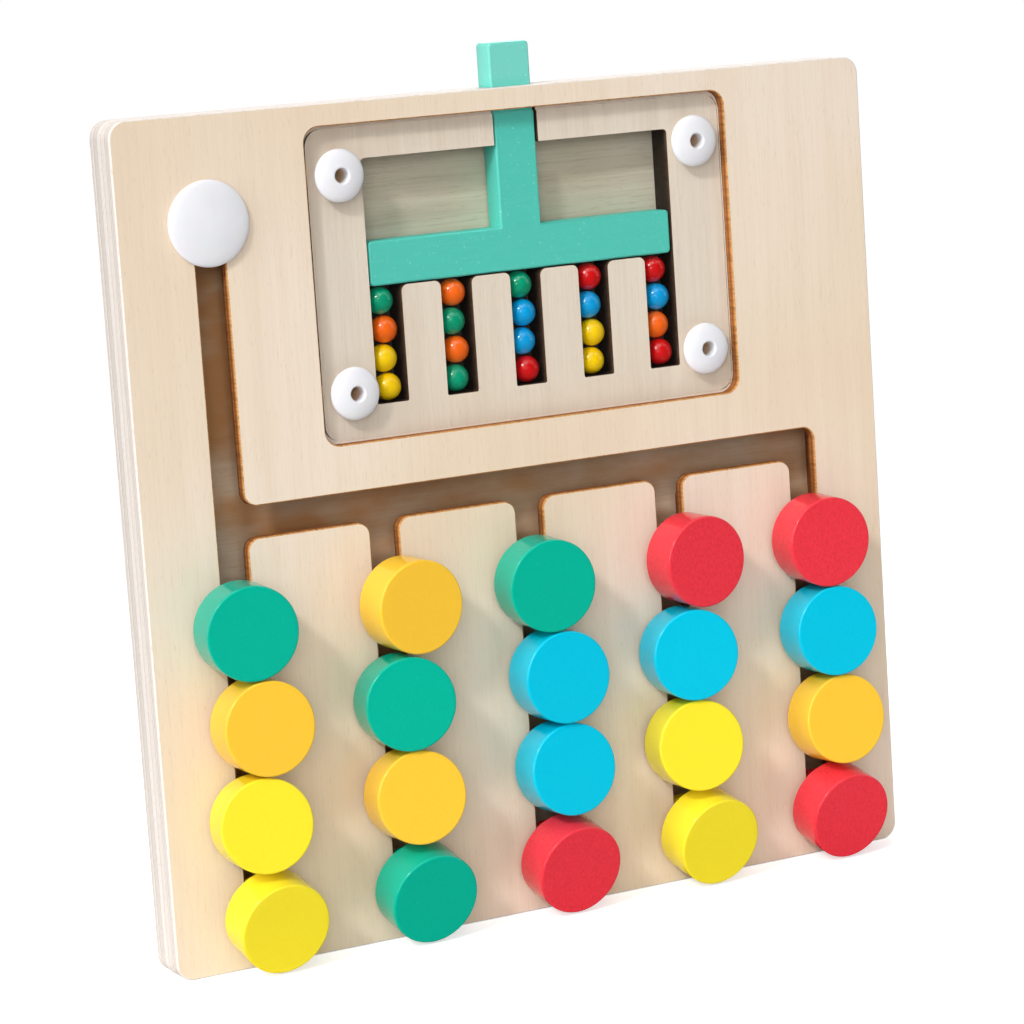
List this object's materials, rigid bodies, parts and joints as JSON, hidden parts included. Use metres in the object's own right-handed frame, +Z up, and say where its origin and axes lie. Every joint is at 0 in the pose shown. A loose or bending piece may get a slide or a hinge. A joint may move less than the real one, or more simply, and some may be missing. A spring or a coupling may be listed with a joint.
{
  "type": "color matching game",
  "caption": "Wooden board with coloured knobs that slide in tracks below a clear window, where a lifting bar holds coloured balls in a comb as the pattern to copy.",
  "frame": {"origin": "middle of the board's bottom edge, on its middle sheet", "axes": "+Z up the board towards the bar's handle, +Y from the front face to the back, +X to the right seen from the front"},
  "size_m": [0.24, 0.0326, 0.2524],
  "materials": {
    "basswood_face": "sanded plywood face",
    "basswood_core": "sanded plywood with laser-cut edges",
    "clear_acrylic": "clear polished sheet",
    "white_plastic": "moulded, satin gloss",
    "teal_paint": "painted wood, satin",
    "green_knob_paint": "painted wood, satin",
    "amber_knob_paint": "painted wood, satin",
    "yellow_knob_paint": "painted wood, satin",
    "blue_knob_paint": "painted wood, satin",
    "red_knob_paint": "painted wood, satin",
    "green_bead_lacquer": "glossy lacquer",
    "amber_bead_lacquer": "glossy lacquer",
    "yellow_bead_lacquer": "glossy lacquer",
    "blue_bead_lacquer": "glossy lacquer",
    "red_bead_lacquer": "glossy lacquer"
  },
  "bodies": {
    "board": {"back_panel": "basswood_face", "track_layer": "basswood_core", "front_panel": "basswood_face", "window_pane": "clear_acrylic", "track_plug": "white_plastic", "rivet_upper_left": "white_plastic", "rivet_lower_left": "white_plastic", "rivet_upper_right": "white_plastic", "rivet_lower_right": "white_plastic", "rivet_rear_upper_left": "white_plastic", "rivet_rear_lower_left": "white_plastic", "rivet_rear_upper_right": "white_plastic", "rivet_rear_lower_right": "white_plastic"},
    "bar": {"bar": "teal_paint"},
    "knob_1_1": {"knob_1_1_green": "green_knob_paint"},
    "knob_1_2": {"knob_1_2_amber": "amber_knob_paint"},
    "knob_1_3": {"knob_1_3_yellow": "yellow_knob_paint"},
    "knob_1_4": {"knob_1_4_yellow": "yellow_knob_paint"},
    "knob_2_1": {"knob_2_1_amber": "amber_knob_paint"},
    "knob_2_2": {"knob_2_2_green": "green_knob_paint"},
    "knob_2_3": {"knob_2_3_amber": "amber_knob_paint"},
    "knob_2_4": {"knob_2_4_green": "green_knob_paint"},
    "knob_3_1": {"knob_3_1_green": "green_knob_paint"},
    "knob_3_2": {"knob_3_2_blue": "blue_knob_paint"},
    "knob_3_3": {"knob_3_3_blue": "blue_knob_paint"},
    "knob_3_4": {"knob_3_4_red": "red_knob_paint"},
    "knob_4_1": {"knob_4_1_red": "red_knob_paint"},
    "knob_4_2": {"knob_4_2_blue": "blue_knob_paint"},
    "knob_4_3": {"knob_4_3_yellow": "yellow_knob_paint"},
    "knob_4_4": {"knob_4_4_yellow": "yellow_knob_paint"},
    "knob_5_1": {"knob_5_1_red": "red_knob_paint"},
    "knob_5_2": {"knob_5_2_blue": "blue_knob_paint"},
    "knob_5_3": {"knob_5_3_amber": "amber_knob_paint"},
    "knob_5_4": {"knob_5_4_red": "red_knob_paint"},
    "bead_1_1": {"bead_1_1_green": "green_bead_lacquer"},
    "bead_1_2": {"bead_1_2_amber": "amber_bead_lacquer"},
    "bead_1_3": {"bead_1_3_yellow": "yellow_bead_lacquer"},
    "bead_1_4": {"bead_1_4_yellow": "yellow_bead_lacquer"},
    "bead_2_1": {"bead_2_1_amber": "amber_bead_lacquer"},
    "bead_2_2": {"bead_2_2_green": "green_bead_lacquer"},
    "bead_2_3": {"bead_2_3_amber": "amber_bead_lacquer"},
    "bead_2_4": {"bead_2_4_green": "green_bead_lacquer"},
    "bead_3_1": {"bead_3_1_green": "green_bead_lacquer"},
    "bead_3_2": {"bead_3_2_blue": "blue_bead_lacquer"},
    "bead_3_3": {"bead_3_3_blue": "blue_bead_lacquer"},
    "bead_3_4": {"bead_3_4_red": "red_bead_lacquer"},
    "bead_4_1": {"bead_4_1_red": "red_bead_lacquer"},
    "bead_4_2": {"bead_4_2_blue": "blue_bead_lacquer"},
    "bead_4_3": {"bead_4_3_yellow": "yellow_bead_lacquer"},
    "bead_4_4": {"bead_4_4_yellow": "yellow_bead_lacquer"},
    "bead_5_1": {"bead_5_1_red": "red_bead_lacquer"},
    "bead_5_2": {"bead_5_2_blue": "blue_bead_lacquer"},
    "bead_5_3": {"bead_5_3_amber": "amber_bead_lacquer"},
    "bead_5_4": {"bead_5_4_red": "red_bead_lacquer"}
  },
  "joints": [
    {"name": "bar_lift", "type": "slide", "parent": "board", "child": "bar", "axis": [0, 0, 1], "range_m": [0, 0.0232]},
    {"name": "knob_1_4_slide", "type": "slide", "parent": "board", "child": "knob_1_4", "axis": [0, 0, 1], "range_m": [0, 0.0213]},
    {"name": "knob_1_3_slide", "type": "slide", "parent": "knob_1_4", "child": "knob_1_3", "axis": [0, 0, 1], "range_m": [0, 0.0213]},
    {"name": "knob_1_2_slide", "type": "slide", "parent": "knob_1_3", "child": "knob_1_2", "axis": [0, 0, 1], "range_m": [0, 0.0213]},
    {"name": "knob_1_1_slide", "type": "slide", "parent": "knob_1_2", "child": "knob_1_1", "axis": [0, 0, 1], "range_m": [0, 0.0213]},
    {"name": "knob_2_4_slide", "type": "slide", "parent": "board", "child": "knob_2_4", "axis": [0, 0, 1], "range_m": [0, 0.007]},
    {"name": "knob_2_3_slide", "type": "slide", "parent": "knob_2_4", "child": "knob_2_3", "axis": [0, 0, 1], "range_m": [0, 0.007]},
    {"name": "knob_2_2_slide", "type": "slide", "parent": "knob_2_3", "child": "knob_2_2", "axis": [0, 0, 1], "range_m": [0, 0.007]},
    {"name": "knob_2_1_slide", "type": "slide", "parent": "knob_2_2", "child": "knob_2_1", "axis": [0, 0, 1], "range_m": [0, 0.007]},
    {"name": "knob_3_4_slide", "type": "slide", "parent": "board", "child": "knob_3_4", "axis": [0, 0, 1], "range_m": [0, 0.007]},
    {"name": "knob_3_3_slide", "type": "slide", "parent": "knob_3_4", "child": "knob_3_3", "axis": [0, 0, 1], "range_m": [0, 0.007]},
    {"name": "knob_3_2_slide", "type": "slide", "parent": "knob_3_3", "child": "knob_3_2", "axis": [0, 0, 1], "range_m": [0, 0.007]},
    {"name": "knob_3_1_slide", "type": "slide", "parent": "knob_3_2", "child": "knob_3_1", "axis": [0, 0, 1], "range_m": [0, 0.007]},
    {"name": "knob_4_4_slide", "type": "slide", "parent": "board", "child": "knob_4_4", "axis": [0, 0, 1], "range_m": [0, 0.007]},
    {"name": "knob_4_3_slide", "type": "slide", "parent": "knob_4_4", "child": "knob_4_3", "axis": [0, 0, 1], "range_m": [0, 0.007]},
    {"name": "knob_4_2_slide", "type": "slide", "parent": "knob_4_3", "child": "knob_4_2", "axis": [0, 0, 1], "range_m": [0, 0.007]},
    {"name": "knob_4_1_slide", "type": "slide", "parent": "knob_4_2", "child": "knob_4_1", "axis": [0, 0, 1], "range_m": [0, 0.007]},
    {"name": "knob_5_4_slide", "type": "slide", "parent": "board", "child": "knob_5_4", "axis": [0, 0, 1], "range_m": [0, 0.007]},
    {"name": "knob_5_3_slide", "type": "slide", "parent": "knob_5_4", "child": "knob_5_3", "axis": [0, 0, 1], "range_m": [0, 0.007]},
    {"name": "knob_5_2_slide", "type": "slide", "parent": "knob_5_3", "child": "knob_5_2", "axis": [0, 0, 1], "range_m": [0, 0.007]},
    {"name": "knob_5_1_slide", "type": "slide", "parent": "knob_5_2", "child": "knob_5_1", "axis": [0, 0, 1], "range_m": [0, 0.007]},
    {"name": "roll_bead_1_1", "type": "hinge", "parent": "board", "child": "bead_1_1", "pos_m": [0, 0, 0], "axis": [1, 0, 0], "continuous": true},
    {"name": "roll_bead_1_2", "type": "hinge", "parent": "board", "child": "bead_1_2", "pos_m": [0, 0, 0], "axis": [1, 0, 0], "continuous": true},
    {"name": "roll_bead_1_3", "type": "hinge", "parent": "board", "child": "bead_1_3", "pos_m": [0, 0, 0], "axis": [1, 0, 0], "continuous": true},
    {"name": "roll_bead_1_4", "type": "hinge", "parent": "board", "child": "bead_1_4", "pos_m": [0, 0, 0], "axis": [1, 0, 0], "continuous": true},
    {"name": "roll_bead_2_1", "type": "hinge", "parent": "board", "child": "bead_2_1", "pos_m": [0, 0, 0], "axis": [1, 0, 0], "continuous": true},
    {"name": "roll_bead_2_2", "type": "hinge", "parent": "board", "child": "bead_2_2", "pos_m": [0, 0, 0], "axis": [1, 0, 0], "continuous": true},
    {"name": "roll_bead_2_3", "type": "hinge", "parent": "board", "child": "bead_2_3", "pos_m": [0, 0, 0], "axis": [1, 0, 0], "continuous": true},
    {"name": "roll_bead_2_4", "type": "hinge", "parent": "board", "child": "bead_2_4", "pos_m": [0, 0, 0], "axis": [1, 0, 0], "continuous": true},
    {"name": "roll_bead_3_1", "type": "hinge", "parent": "board", "child": "bead_3_1", "pos_m": [0, 0, 0], "axis": [1, 0, 0], "continuous": true},
    {"name": "roll_bead_3_2", "type": "hinge", "parent": "board", "child": "bead_3_2", "pos_m": [0, 0, 0], "axis": [1, 0, 0], "continuous": true},
    {"name": "roll_bead_3_3", "type": "hinge", "parent": "board", "child": "bead_3_3", "pos_m": [0, 0, 0], "axis": [1, 0, 0], "continuous": true},
    {"name": "roll_bead_3_4", "type": "hinge", "parent": "board", "child": "bead_3_4", "pos_m": [0, 0, 0], "axis": [1, 0, 0], "continuous": true},
    {"name": "roll_bead_4_1", "type": "hinge", "parent": "board", "child": "bead_4_1", "pos_m": [0, 0, 0], "axis": [1, 0, 0], "continuous": true},
    {"name": "roll_bead_4_2", "type": "hinge", "parent": "board", "child": "bead_4_2", "pos_m": [0, 0, 0], "axis": [1, 0, 0], "continuous": true},
    {"name": "roll_bead_4_3", "type": "hinge", "parent": "board", "child": "bead_4_3", "pos_m": [0, 0, 0], "axis": [1, 0, 0], "continuous": true},
    {"name": "roll_bead_4_4", "type": "hinge", "parent": "board", "child": "bead_4_4", "pos_m": [0, 0, 0], "axis": [1, 0, 0], "continuous": true},
    {"name": "roll_bead_5_1", "type": "hinge", "parent": "board", "child": "bead_5_1", "pos_m": [0, 0, 0], "axis": [1, 0, 0], "continuous": true},
    {"name": "roll_bead_5_2", "type": "hinge", "parent": "board", "child": "bead_5_2", "pos_m": [0, 0, 0], "axis": [1, 0, 0], "continuous": true},
    {"name": "roll_bead_5_3", "type": "hinge", "parent": "board", "child": "bead_5_3", "pos_m": [0, 0, 0], "axis": [1, 0, 0], "continuous": true},
    {"name": "roll_bead_5_4", "type": "hinge", "parent": "board", "child": "bead_5_4", "pos_m": [0, 0, 0], "axis": [1, 0, 0], "continuous": true}
  ]
}
